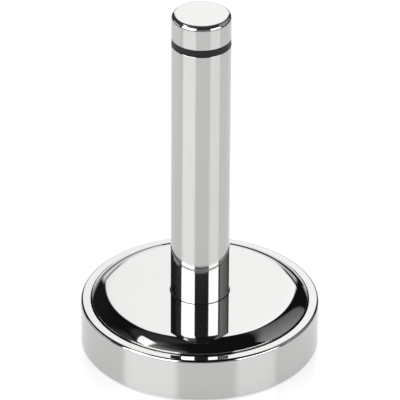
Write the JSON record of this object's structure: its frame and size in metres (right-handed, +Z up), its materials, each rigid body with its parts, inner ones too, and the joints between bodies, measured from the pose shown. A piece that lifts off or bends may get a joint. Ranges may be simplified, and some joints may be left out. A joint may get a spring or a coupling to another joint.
{
  "type": "paper towel holder",
  "caption": "Free-standing kitchen roll holder: a weighted round base with a turntable plate and an upright polished column that turns with it.",
  "frame": {"origin": "centre of the footprint, on the surface that the holder stands on", "axes": "+Z up along the column; the shape is round, so +X and +Y are free"},
  "size_m": [0.15, 0.15, 0.2318],
  "materials": {
    "shell_steel": "mirror-polished stainless steel",
    "plate_steel": "mirror-polished stainless steel",
    "tube_steel": "mirror-polished stainless steel",
    "cap_steel": "mirror-polished stainless steel",
    "grip_rubber": "satin black rubber",
    "foot_rubber": "matt black rubber",
    "cover_plastic": "fine moulded texture, black",
    "ballast_iron": "as cast, oiled",
    "fastener_steel": "zinc plated",
    "spring_steel": "hardened and blued",
    "bush_plastic": "natural acetal",
    "drag_fibre": "pressed fibre",
    "carrier_plastic": "black glass-filled nylon",
    "plug_plastic": "dark grey nylon",
    "plug_metal": "turned",
    "brass": "turned"
  },
  "bodies": {
    "base": {"base_shell": "shell_steel", "ballast_weight": "ballast_iron", "weld_studs": "fastener_steel", "stud_washers": "fastener_steel", "stud_nuts": "fastener_steel", "base_cover": "cover_plastic", "cover_screws": "fastener_steel", "foot_ring": "foot_rubber", "upper_bush": "bush_plastic", "lower_bush": "bush_plastic", "glide_ring": "bush_plastic"},
    "column": {"turntable_plate": "plate_steel", "turntable_carrier": "carrier_plastic", "column_screws": "fastener_steel", "foot_plug": "plug_metal", "drag_washer": "drag_fibre", "disc_spring": "spring_steel", "pivot_washer": "fastener_steel", "pivot_bolt": "fastener_steel", "column_tube": "tube_steel", "tie_rod": "fastener_steel", "tie_rod_nut": "fastener_steel", "head_plug": "plug_plastic", "grip_ring": "grip_rubber", "cap": "cap_steel", "cap_insert": "plug_plastic", "thread_insert": "brass"}
  },
  "joints": [
    {"name": "column_spin", "type": "hinge", "parent": "base", "child": "column", "pos_m": [0, 0, 0.0182], "axis": [0, 0, 1], "continuous": true}
  ]
}
